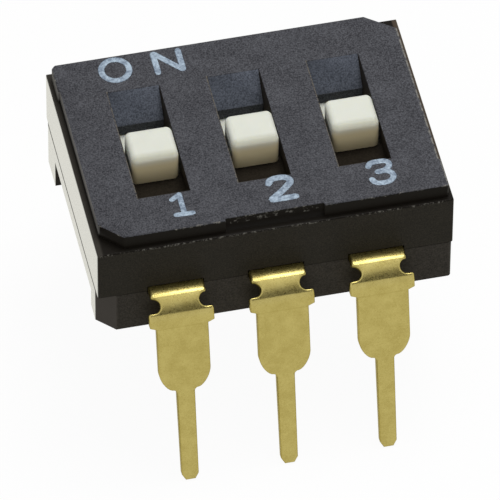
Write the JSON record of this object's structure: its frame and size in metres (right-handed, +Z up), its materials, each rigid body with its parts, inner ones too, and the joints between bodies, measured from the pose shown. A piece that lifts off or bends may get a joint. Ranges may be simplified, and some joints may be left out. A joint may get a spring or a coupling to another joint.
{
  "type": "slide dip switch",
  "caption": "Through-hole slide DIP switch: black housing with sloped slots, ivory sliding knobs over bridge contacts, and splayed gold-coloured leads.",
  "frame": {"origin": "centre of the lead footprint on the board's surface, where the wide blades of the leads end", "axes": "+X along the row from the first switch to the last, +Y towards the ON side, +Z up out of the board"},
  "size_m": [0.009, 0.0098, 0.0076],
  "materials": {
    "housing_plastic": "fine-grained black moulding",
    "slider_plastic": "smooth ivory moulding",
    "spring_metal": "rolled spring strip",
    "gold_plating": "satin plated strip"
  },
  "bodies": {
    "housing": {"cover": "housing_plastic", "base": "housing_plastic", "front_terminal_1": "gold_plating", "front_terminal_2": "gold_plating", "front_terminal_3": "gold_plating", "rear_terminal_1": "gold_plating", "rear_terminal_2": "gold_plating", "rear_terminal_3": "gold_plating"},
    "slide_1": {"slider_1": "slider_plastic", "bridge_contact_1": "spring_metal"},
    "slide_2": {"slider_2": "slider_plastic", "bridge_contact_2": "spring_metal"},
    "slide_3": {"slider_3": "slider_plastic", "bridge_contact_3": "spring_metal"}
  },
  "joints": [
    {"name": "switch_1", "type": "slide", "parent": "housing", "child": "slide_1", "axis": [0, 1, 0], "range_m": [0, 0.00066]},
    {"name": "switch_2", "type": "slide", "parent": "housing", "child": "slide_2", "axis": [0, 1, 0], "range_m": [0, 0.00066]},
    {"name": "switch_3", "type": "slide", "parent": "housing", "child": "slide_3", "axis": [0, 1, 0], "range_m": [0, 0.00066]}
  ]
}
